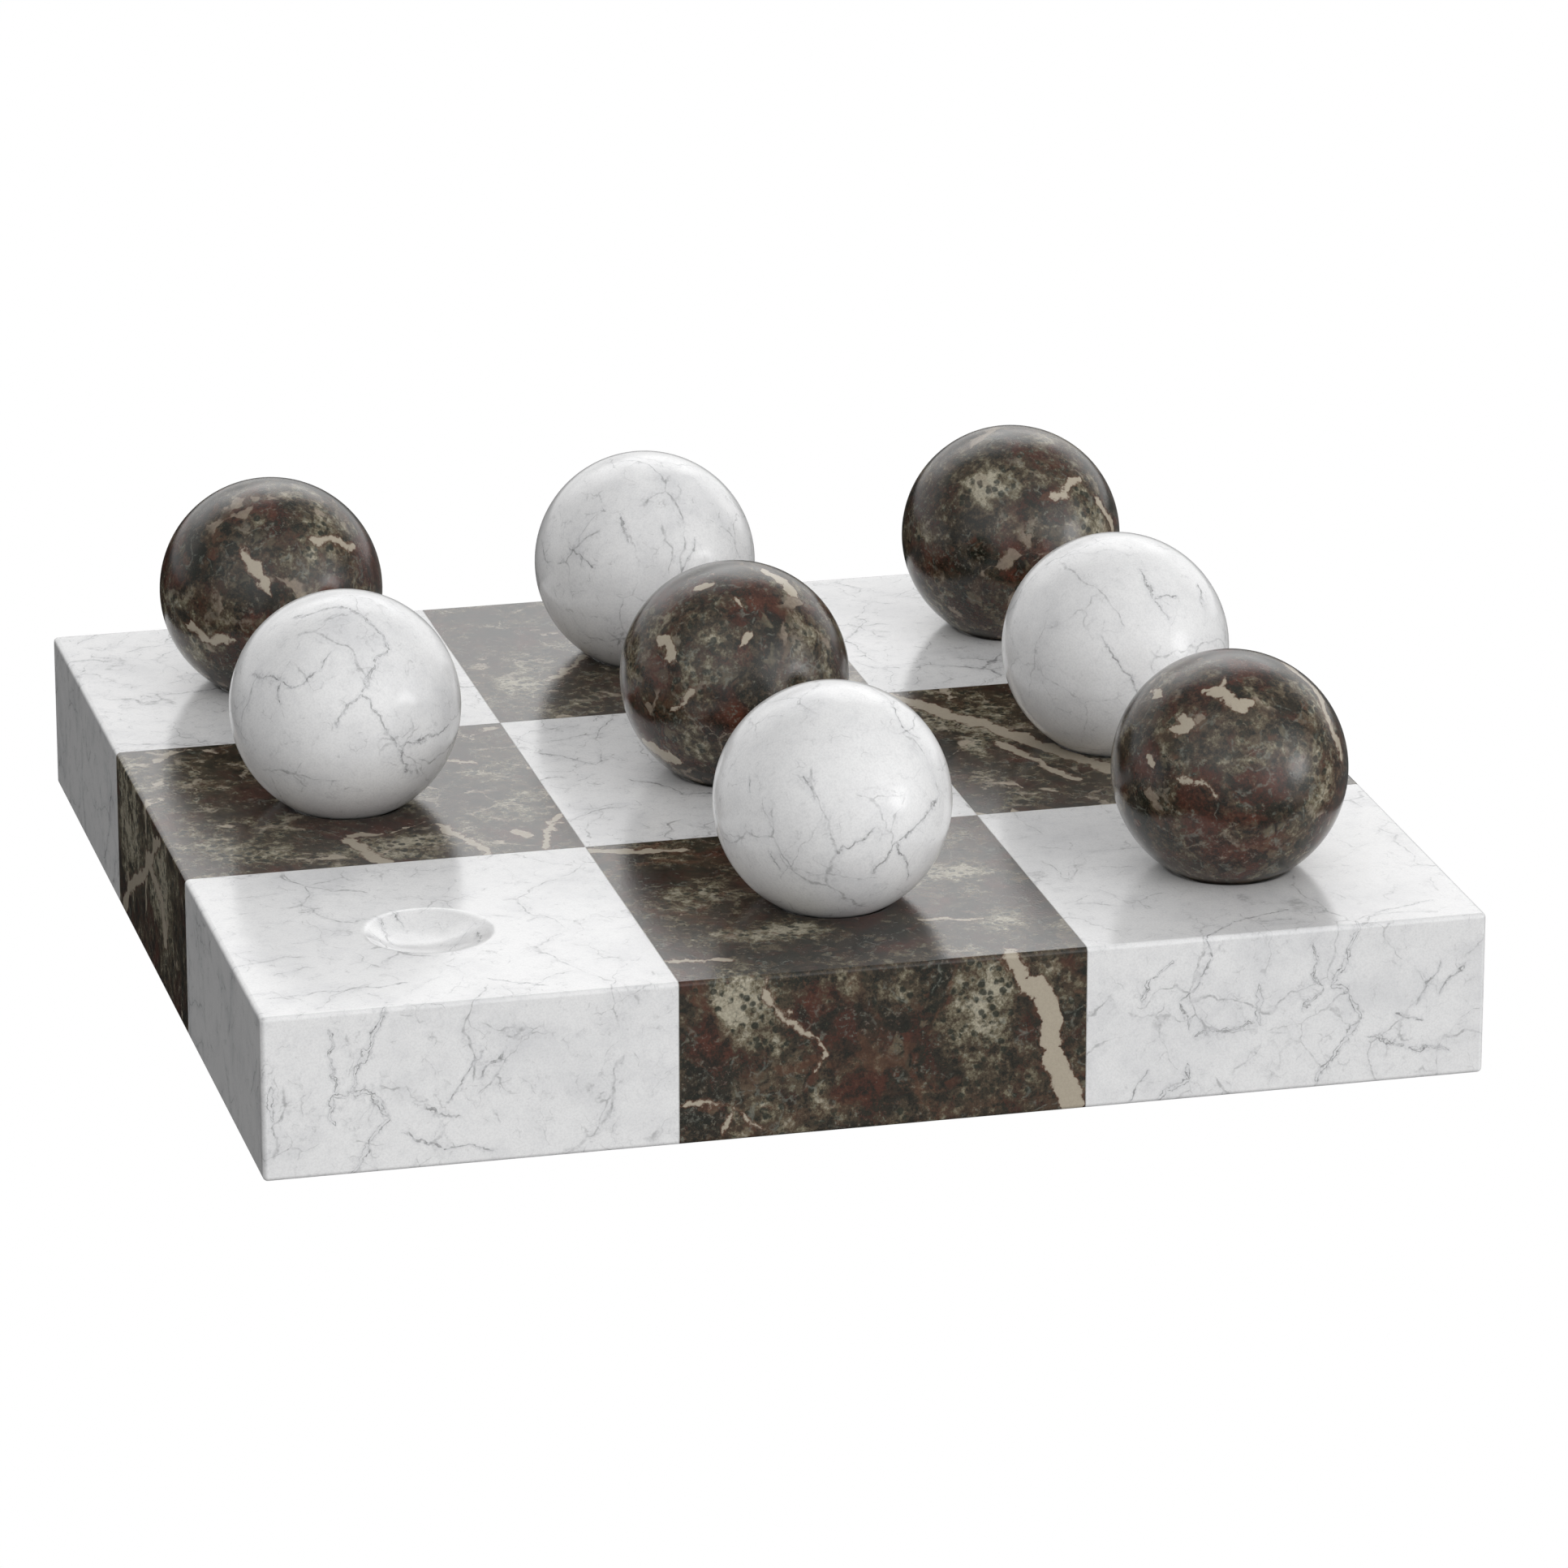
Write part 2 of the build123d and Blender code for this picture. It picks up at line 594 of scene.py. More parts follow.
@dataclass(frozen=True)
class DarkMarble(Finish):
    """Polished dark breccia: maroon and near-black stone, gritty olive paste, cream veins.

    Sizes are those of the lumps or cells of a pattern, in millimetres.
    """

    word: str = "marble"
    slot: str = Stone.DARK.value
    black: Triple = (0.013, 0.011, 0.007)
    brown: Triple = (0.036, 0.028, 0.018)
    maroon: Triple = (0.072, 0.025, 0.016)
    green: Triple = (0.014, 0.019, 0.012)
    umber: Triple = (0.094, 0.067, 0.041)
    olive: Triple = (0.20, 0.175, 0.115)
    beige: Triple = (0.46, 0.42, 0.32)
    ash: Triple = (0.21, 0.22, 0.185)
    cream: Triple = (0.45, 0.395, 0.31)
    rust: Triple = (0.13, 0.055, 0.030)
    red: Triple = (0.125, 0.037, 0.021)
    grime: Triple = (0.55, 0.55, 0.55)
    outline: float = 0.9  # of a bold vein, in millimetres
    swelling: float = 5.0  # how much the width of a bold vein varies, in millimetres
    block_size: float = 34.0
    clast_size: float = 15.0
    paste_size: float = 14.0
    crumb_size: float = 3.0
    mottle_size: float = 6.0
    pebble_size: float = 4.2
    dot_size: float = 2.3
    web_size: float = 6.0
    grit_size: float = 0.7
    polish: float = 0.09  # the roughness of the smoothest grains
    relief: float = 0.03  # of the grains, in millimetres

    def dress(self, name: str, middle: Triple, cut: Cut) -> bpy.types.Material:
        """Makes the marble of one piece.

        Args:
            name: The material's name.
            middle: The piece's own middle, in metres.
            cut: Where the piece was cut from the stone.

        Returns:
            The material.
        """
        material, tree, local = self.start(name, middle)
        place = tree.placed(local, cut.offset, cut.turn)
        bent = tree.stirred(place, 14.0, 6.0, 3.0)
        ragged = tree.stirred(bent, 2.5, 1.1, 4.0)
        lot = tree.cells(ragged, self.clast_size, "F1", 1)
        kind = tree.vector("DOT_PRODUCT", lot, (1.0, 0.0, 0.0), 1)
        shade = tree.vector("DOT_PRODUCT", lot, (0.0, 1.0, 0.0), 1)
        edge = tree.border(ragged, self.clast_size)
        solid = tree.ramp(kind, 0.45, 0.55) * tree.ramp(edge, 0.2, 2.0)
        red = tree.ramp(shade, 0.45, 0.60) * solid
        own = tree.stirred(local, 8.0, 4.0, 6.0)
        coarse = tree.noise(bent, self.paste_size, 4.0, 0.65)
        crumbs = tree.noise(place, self.crumb_size, 6.0, 0.8)
        amount = coarse + crumbs * 1.1 - 0.53 - solid * 0.06
        for patch in cut.patches:
            amount = amount + patch.show(tree, own) * 0.15
        for clast in cut.clasts:
            whole = tree.ramp(clast.show(tree, own), 0.25, 0.45)
            red = red.at_least(whole)
            amount = amount - whole * 0.09
        colour = self.ground(tree, place, shade, red)
        colour = self.pebbles(tree, ragged, place, colour)
        colour = self.paste(tree, place, colour, amount)
        colour, veins = self.webs(tree, ragged, place, edge, colour, cut.seams)
        grit = tree.noise(place, self.grit_size, 3.0, 0.75)
        if cut.veins:
            near = self.nearest(tree, own, cut.veins, self.outline)
            near = near + (tree.noise(place, 5.0, 5.0, 0.7) - 0.5) * self.swelling
            line = tree.ramp(near, 0.3, -0.3)
            colour = tree.mix(colour, self.rust, tree.ramp(near, self.outline, 0.0) * 0.7)
            worn = tree.mix(self.cream, self.umber, tree.ramp(grit + near * 0.1, 0.42, 0.75) * 0.35)
            colour = tree.mix(colour, worn, line)
            veins = veins.at_least(line)
        dim = tree.ramp(grit, 0.70, 0.30) * (0.8 - veins * 0.55)
        colour = tree.mix(colour, self.grime, dim, "MULTIPLY")
        self.close(tree, colour, self.polish + grit * 0.14, grit, self.relief)
        return material

    def ground(self, tree: Tree, place: Signal, shade: Signal, red: Signal) -> Signal:
        """Adds the dark stone: near-black, brown and green, with red clasts, all finely mottled.

        Args:
            tree: The tree of the material.
            place: The stone's coordinates, in millimetres.
            shade: A value that differs from clast to clast.
            red: Where a clast is red.

        Returns:
            The colour.
        """
        mottle = tree.noise(place, self.mottle_size, 8.0, 0.8)
        stops = [
            (0.30, self.umber),
            (0.36, self.green),
            (0.42, self.black),
            (0.47, self.brown),
            (0.50, self.green),
            (0.54, self.maroon),
            (0.59, self.black),
            (0.64, self.brown),
            (0.72, self.umber),
        ]
        colour = tree.add("ShaderNodeValToRGB", {"stops": stops}, {"Fac": mottle + (shade - 0.5) * 0.16})
        rusty = tree.mix(self.black, self.red, tree.ramp(mottle, 0.38, 0.60))
        return tree.mix(colour, rusty, red * 0.75)

    def pebbles(self, tree: Tree, ragged: Signal, place: Signal, colour: Signal) -> Signal:
        """Lays clusters of small coloured pebbles over the ground.

        Args:
            tree: The tree of the material.
            ragged: The stone's coordinates, stirred, in millimetres.
            place: The stone's coordinates, in millimetres.
            colour: The colour so far.

        Returns:
            The new colour.
        """
        lot = tree.cells(ragged, self.pebble_size, "F1", 1)
        kind = tree.vector("DOT_PRODUCT", lot, (0.0, 0.0, 1.0), 1)
        stops = [
            (0.0, self.black),
            (0.3, self.green),
            (0.45, self.brown),
            (0.58, self.red),
            (0.70, self.umber),
            (0.84, self.olive),
            (0.95, self.rust),
        ]
        pebble = tree.add("ShaderNodeValToRGB", {"stops": stops}, {"Fac": kind})
        edge = tree.cells(ragged, self.pebble_size, "DISTANCE_TO_EDGE")
        there = tree.ramp(tree.noise(place, 18.0, 4.0, 0.6), 0.48, 0.56) * tree.ramp(edge, 0.04, 0.18)
        return tree.mix(colour, pebble, there * 0.65)

    def paste(self, tree: Tree, place: Signal, colour: Signal, amount: Signal) -> Signal:
        """Lays the gritty olive paste, its dark dots and a haze of grey specks over the ground.

        Args:
            tree: The tree of the material.
            place: The stone's coordinates, in millimetres.
            colour: The colour so far.
            amount: How much paste there is, from 0 to 1.

        Returns:
            The new colour.
        """
        colour = tree.mix(colour, self.umber, tree.ramp(amount, 0.43, 0.57) * 0.75)
        colour = tree.mix(colour, self.olive, tree.ramp(amount, 0.57, 0.67) * 0.85)
        colour = tree.mix(colour, self.beige, tree.ramp(amount, 0.67, 0.82))
        grainy = tree.stirred(place, 1.2, 0.45, 3.0)
        dots = tree.ramp(tree.cells(grainy, self.dot_size), 0.50, 0.32)
        some = tree.ramp(tree.noise(place, 4.0, 3.0, 0.6), 0.40, 0.52) * tree.ramp(amount, 0.50, 0.56)
        colour = tree.mix(colour, self.green, dots * some * 0.85)
        specks = tree.ramp(tree.noise(place, 1.5, 4.0, 0.8), 0.54, 0.66)
        hazy = tree.ramp(tree.noise(place, 12.0, 5.0, 0.7), 0.50, 0.58)
        return tree.mix(colour, self.ash, specks * hazy * 0.5)

    def webs(
        self, tree: Tree, ragged: Signal, place: Signal, edge: Signal, colour: Signal, seams: float
    ) -> tuple[Signal, Signal]:
        """Lays the cream veins and the fine grey webs over the stone.

        Args:
            tree: The tree of the material.
            ragged: The stone's coordinates, stirred, in millimetres.
            place: The stone's coordinates, in millimetres.
            edge: How far it is to the border of a clast, in millimetres.
            colour: The colour so far.
            seams: How plainly the veins show, from 0 to 1.

        Returns:
            The new colour, and the veins' mask.
        """
        swell = tree.ramp(tree.noise(place, 7.0, 4.0), 0.46, 0.72)
        there = tree.ramp(tree.noise(place, 14.0, 3.0), 0.52, 0.58)
        broken = tree.ramp(tree.noise(place, 1.6, 4.0, 0.7), 0.40, 0.52)
        veins = tree.ramp(edge, swell * 2.4 + 0.2, 0.05) * there * broken
        joint = tree.border(ragged, self.block_size)
        wide = swell * 2.6 - 0.1
        broad = tree.ramp(joint - wide, 0.3, -0.3) * tree.ramp(tree.noise(place, 20.0, 2.0), 0.50, 0.56)
        fine_edge = tree.border(ragged, self.web_size)
        some = tree.ramp(tree.noise(place, 9.0, 4.0, 0.65), 0.52, 0.60)
        fine = tree.ramp(fine_edge, 0.45, 0.05) * some * broken
        colour = tree.mix(colour, self.ash, fine * 0.5)
        colour = tree.mix(colour, self.rust, tree.ramp(joint - wide, 0.9, 0.0) * broad.at_least(0.35) * 0.5)
        pale = (veins * (0.6 * seams)).at_least(broad * (0.9 * seams))
        return tree.mix(colour, self.cream, pale), pale


@dataclass(frozen=True)
class Felt(Finish):
    """Grey pressed felt, with matted fibres."""

    word: str = "felt"
    slot: str = "felt"
    dark: Triple = (0.045, 0.045, 0.048)
    pale: Triple = (0.11, 0.11, 0.115)

    def dress(self, name: str, middle: Triple, cut: Cut) -> bpy.types.Material:
        """Makes the felt of one pad.

        Args:
            name: The material's name.
            middle: The pad's own middle, in metres.
            cut: Nothing in felt depends on it.

        Returns:
            The material.
        """
        material, tree, local = self.start(name, middle)
        matted = tree.stirred(local, 1.2, 0.9, 3.0)
        fibres = tree.noise(matted, 0.5, 4.0, 0.7)
        clumps = tree.noise(local, 3.0, 3.0)
        colour = tree.mix(self.dark, self.pale, tree.ramp(fibres * 0.7 + clumps * 0.3, 0.35, 0.65))
        self.close(tree, colour, 0.95, fibres, 0.25, {"Sheen Weight": 0.4, "Sheen Roughness": 0.5})
        return material


@dataclass(frozen=True)
class Adhesive(Finish):
    """Set stone adhesive, tinted grey and filled with marble dust."""

    word: str = "adhesive"
    resin: Triple = (0.30, 0.295, 0.285)
    dust: Triple = (0.44, 0.435, 0.42)

    def dress(self, name: str, middle: Triple, cut: Cut) -> bpy.types.Material:
        """Makes the adhesive of one film.

        Args:
            name: The material's name.
            middle: The film's own middle, in metres.
            cut: Nothing in adhesive depends on it.

        Returns:
            The material.
        """
        material, tree, local = self.start(name, middle)
        grains = tree.noise(local, 0.4, 3.0, 0.7)
        smears = tree.noise(local, 6.0, 3.0)
        colour = tree.mix(self.resin, self.dust, tree.ramp(grains * 0.6 + smears * 0.4, 0.4, 0.6))
        self.close(tree, colour, 0.35 + grains * 0.2, grains, 0.02)
        return material


@dataclass
class Piece:
    """One separate piece of the set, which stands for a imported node."""

    node: str
    body: str
    low: Vector = field(init=False)  # the lowest corner of the node's box, in metres
    high: Vector = field(init=False)
    middle: Vector = field(init=False)

    def __post_init__(self) -> None:
        """Reads the node's box."""
        self.low, self.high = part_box(self.node)
        self.middle = (self.low + self.high) / 2

    @property
    def centre(self) -> Vector:
        """Returns the point from which the piece's pattern is measured, in metres."""
        return self.middle

    def build(self) -> bmesh.types.BMesh:
        """Builds the piece's mesh, in the way of its own kind."""
        raise NotImplementedError(self.node)

    @staticmethod
    def round_off(
        mesh: bmesh.types.BMesh, edges: list[bmesh.types.BMEdge], radius: float, steps: int
    ) -> None:
        """Rounds edges.

        Args:
            mesh: The mesh that they are in.
            edges: The edges.
            radius: The radius of the round, in metres.
            steps: The number of faces across it.
        """
        bmesh.ops.bevel(
            mesh,
            geom=edges,
            offset=radius,
            offset_type="OFFSET",
            segments=steps,
            profile=0.5,
            affect="EDGES",
            material=-1,
            clamp_overlap=True,
        )

    def make(self, finish: Finish, cut: Cut = Cut()) -> bpy.types.Object:
        """Builds and dresses the piece.

        Args:
            finish: What it is made of.
            cut: Where it was cut from its stone.

        Returns:
            The finished object.
        """
        material = finish.dress(f"{self.node}_{finish.word}", tuple(self.centre), cut)
        return self.hand_over(self.build(), material)

    def hand_over(
        self, mesh: bmesh.types.BMesh, material: bpy.types.Material
    ) -> bpy.types.Object:
        """Turns a finished bmesh into the piece's object, which is named after its material.

        Args:
            mesh: The finished bmesh, which is freed.
            material: The piece's material.

        Returns:
            The new object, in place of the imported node.
        """
        bmesh.ops.remove_doubles(mesh, verts=mesh.verts[:], dist=WELD)
        bmesh.ops.recalc_face_normals(mesh, faces=mesh.faces[:])
        data = bpy.data.meshes.new(self.node + "_mesh")
        mesh.to_mesh(data)
        mesh.free()
        data.materials.append(material)
        piece = bpy.data.objects.new(material.name, data)
        bpy.context.scene.collection.objects.link(piece)
        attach(piece, self.body)
        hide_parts(self.node)
        log.info("%s: %d faces", piece.name, len(data.polygons))
        return piece


@dataclass
class Block(Piece):
    """One marble block with a ground dish in its top face."""

    column: int = 0  # -1 left, 0 centre, 1 right
    row: int = 0  # -1 front, 0 middle, 1 back
    pitch: float = 100 * MM
    arris: float = 1.2 * MM
    arris_steps: int = 5
    dish_radius: float = 29.3 * MM  # of the sphere that the dish is ground to
    ball_sink: float = 4.1 * MM
    ball_radius: float = BALL_RADIUS * MM
    lip_radius: float = 4.0 * MM
    turns: int = 96  # steps round the dish
    bowl_steps: int = 14
    lip_steps: int = 10
    smooth_up_to: float = 50.0  # degrees between faces, past which an edge stays sharp
    flatness: float = 0.9999  # the least share of a flat face's normal along one axis

    @property
    def centre(self) -> Vector:
        """Returns the middle of the dish, on the top face, in metres."""
        return Vector((self.column * self.pitch, self.row * self.pitch, self.high.z))

    def build(self) -> bmesh.types.BMesh:
        """Builds the block: a box with eased outer edges, and a dish let into its top.

        Returns:
            A closed bmesh.
        """
        mesh = bmesh.new()
        size = self.high - self.low
        place = Matrix.Translation(self.middle) @ Matrix.Diagonal((*size, 1))
        bmesh.ops.create_cube(mesh, size=1.0, matrix=place)
        self.ease_arrises(mesh)
        top = max(mesh.faces, key=lambda face: face.normal.z * face.calc_area())
        bmesh.ops.delete(mesh, geom=[top], context="FACES_ONLY")
        outline = [e for e in mesh.edges if e.is_boundary]
        self.spin_dish(mesh)
        rim = [e for e in mesh.edges if e.is_boundary and e not in outline]
        bmesh.ops.triangle_fill(
            mesh, edges=outline + rim, use_beauty=True, use_dissolve=False, normal=(0, 0, 1)
        )
        self.favour_flats(mesh)
        return mesh

    def favour_flats(self, mesh: bmesh.types.BMesh) -> None:
        """Marks the flat faces, so that the shading of the eased edges runs out into them evenly.

        Args:
            mesh: The closed block.
        """
        strength = mesh.faces.layers.int.new(STRENGTH_LAYER)
        for face in mesh.faces:
            face.smooth = True
            flat = max(abs(n) for n in face.normal) > self.flatness
            face[strength] = STRONG if flat else WEAK

    def spin_dish(self, mesh: bmesh.types.BMesh) -> None:
        """Spins the profile of the dish and its lip.

        Args:
            mesh: The bmesh to build in.
        """
        seat = self.centre
        ball_centre = self.ball_radius - self.ball_sink  # above the top face
        lip_height = ball_centre + self.lip_radius
        lip_reach = math.sqrt((self.dish_radius + self.lip_radius) ** 2 - lip_height**2)
        meet = math.atan2(lip_reach, lip_height)  # from straight down to where bowl and lip meet
        profile = []
        for step in range(self.bowl_steps + 1):
            angle = meet * step / self.bowl_steps
            across = self.dish_radius * math.sin(angle)
            profile.append((across, ball_centre - self.dish_radius * math.cos(angle)))
        for step in range(1, self.lip_steps + 1):
            angle = meet * (1 - step / self.lip_steps)
            across = lip_reach - self.lip_radius * math.sin(angle)
            profile.append((across, -self.lip_radius * (1 - math.cos(angle))))
        verts = [mesh.verts.new(seat + Vector((x, 0, z))) for x, z in profile]
        edges = [mesh.edges.new(pair) for pair in zip(verts, verts[1:])]
        bmesh.ops.spin(
            mesh,
            geom=verts + edges,
            cent=seat,
            axis=(0, 0, 1),
            angle=math.tau,
            steps=self.turns,
            use_merge=True,
        )
        bmesh.ops.remove_doubles(mesh, verts=mesh.verts[:], dist=TINY)

    def ease_arrises(self, mesh: bmesh.types.BMesh) -> None:
        """Rounds the edges on the outside of the board, and leaves those of bonded faces square.

        Args:
            mesh: The plain box.
        """
        place = (self.column, self.row)
        glued = [side.value for side in Side if place[side.value[0]] != side.value[1]]
        bonded = [f for f in mesh.faces if any(f.normal[axis] * way > 0.5 for axis, way in glued)]
        edges = [e for e in mesh.edges if not any(f in bonded for f in e.link_faces)]
        edges = [e for e in edges if any(abs(f.normal.z) < 0.5 for f in e.link_faces)]
        if edges:
            self.round_off(mesh, edges, self.arris, self.arris_steps)

    def make(self, finish: Finish, cut: Cut = Cut()) -> bpy.types.Object:
        """Builds and dresses the block, and evens out its shading.

        Args:
            finish: The marble that it is made of.
            cut: Where it was cut from the stone.

        Returns:
            The finished object.
        """
        piece = super().make(finish, cut)
        piece.data.set_sharp_from_angle(angle=math.radians(self.smooth_up_to))
        shading = piece.modifiers.new("even_shading", "WEIGHTED_NORMAL")
        shading.keep_sharp = True
        shading.use_face_influence = True
        return piece


@dataclass
class Ball(Piece):
    """One ground and polished marble ball."""

    steps: int = 40  # across each side of the cube that is blown up to the ball

    def build(self) -> bmesh.types.BMesh:
        """Blows a cube up to an even mesh of quads.

        Returns:
            A closed bmesh.
        """
        radius = (self.high.z - self.low.z) / 2
        mesh = bmesh.new()
        bmesh.ops.create_cube(mesh, size=2 * radius / math.sqrt(3))
        bmesh.ops.subdivide_edges(
            mesh,
            edges=mesh.edges[:],
            cuts=self.steps - 1,
            smooth=radius,
            use_grid_fill=True,
            use_sphere=True,
        )
        bmesh.ops.translate(mesh, verts=mesh.verts[:], vec=self.middle)
        for face in mesh.faces:
            face.smooth = True
        return mesh


@dataclass
class Pad(Piece):
    """One round felt pad under the board, pressed flat, with a soft edge."""

    turns: int = 64
    edge: float = 0.45 * MM
    edge_steps: int = 4
    rings: tuple[float, ...] = (0.15, 0.25, 0.25, 0.2)  # their widths from the rim in, in radii

    def build(self) -> bmesh.types.BMesh:
        """Builds a thick disc with rounded edges, and rings of faces on both of its flat sides.

        Returns:
            A closed bmesh.
        """
        low, high = self.low, self.high
        radius, height = (high.x - low.x) / 2, high.z - low.z
        mesh = bmesh.new()
        place = Matrix.Translation(self.middle)
        bmesh.ops.create_cone(
            mesh,
            cap_ends=True,
            segments=self.turns,
            radius1=radius,
            radius2=radius,
            depth=height,
            matrix=place,
        )
        rims = [e for e in mesh.edges if abs(e.verts[0].co.z - e.verts[1].co.z) < TINY]
        self.round_off(mesh, rims, self.edge, self.edge_steps)
        caps = [f for f in mesh.faces if len(f.verts) == self.turns]
        for width in self.rings:
            bmesh.ops.inset_region(mesh, faces=caps, thickness=radius * width)
        for face in mesh.faces:
            face.smooth = True
        return mesh


@dataclass
class Film(Piece):
    """One film of adhesive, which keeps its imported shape."""

    def make(self, finish: Finish, cut: Cut = Cut()) -> bpy.types.Object:
        """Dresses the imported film.

        Args:
            finish: The adhesive that it is made of.
            cut: Nothing in adhesive depends on it.

        Returns:
            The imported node's object.
        """
        film = frame["nodes"][self.node]
        material = finish.dress(f"{self.node}_{finish.word}", tuple(self.centre), cut)
        film.data.materials.clear()
        film.data.materials.append(material)
        log.info("%s: packed shape kept", self.node)
        return film


@dataclass
class Board:
    """The board: nine blocks, the adhesive films between them and the felt pads under them."""

    body: str = "board"
    columns: tuple[str, ...] = ("left", "centre", "right")
    rows: tuple[str, ...] = ("front", "middle", "back")
    cuts: dict[str, Cut] = field(default_factory=dict)

    def make(self, marble: Mapping[Stone, Finish], felt: Felt, adhesive: Adhesive) -> None:
        """Makes every piece of the board.

        Args:
            marble: The two marbles.
            felt: The felt of the pads.
            adhesive: The adhesive of the films.
        """
        for name in frame["record"]["behaviour"]["bodies"][self.body]:
            if "_block_" in name:
                row, column = name.split("_")[2:]
                place = (self.columns.index(column) - 1, self.rows.index(row) - 1)
                Block(name, self.body, *place).make(marble[Stone.of(name)], self.cuts[name])
            elif name.startswith("film"):
                Film(name, self.body).make(adhesive)
            else:
                Pad(name, self.body).make(felt)


@dataclass
class BallSet:
    """The eight loose balls, each of which is a body of its own."""

    cuts: dict[str, Cut] = field(default_factory=dict)

    def make(self, marble: Mapping[Stone, Finish]) -> None:
        """Makes every ball.

        Args:
            marble: The two marbles.
        """
        for name in frame["record"]["behaviour"]["bodies"]:
            if "_ball_" in name:
                Ball(name, name).make(marble[Stone.of(name)], self.cuts[name])


@dataclass(frozen=True)
class Panel:
    """A large soft light, far away, seen as a round glow with a soft edge.

    A radiance below 0 makes it a black flag, which takes away from the light of the room.
    """

    bearing: float  # degrees from straight behind the set, towards the right
    height: float  # degrees above the horizon
    radiance: float
    core: float  # degrees from its middle to where it starts to fade
    edge: float  # degrees from its middle to where it is gone
    stands: bool = False  # whether it stands on the floor, and so ends at the horizon

    def glow(self, tree: Tree, way: Signal) -> Signal:
        """Adds the panel's light.

        Args:
            tree: The tree of the world.
            way: The direction in which a ray looks.

        Returns:
            The radiance that it adds.
        """
        bearing, height = math.radians(self.bearing), math.radians(self.height)
        level = math.cos(height)
        toward = (level * math.sin(bearing), level * math.cos(bearing), math.sin(height))
        nearness = tree.vector("DOT_PRODUCT", way, toward, 1)
        far, near = math.cos(math.radians(self.edge)), math.cos(math.radians(self.core))
        glow = tree.ramp(nearness, far, near) * self.radiance
        if self.stands:
            height = tree.vector("DOT_PRODUCT", way, (0.0, 0.0, 1.0), 1)
            glow = glow * tree.ramp(height, -0.06, 0.02)
        return glow


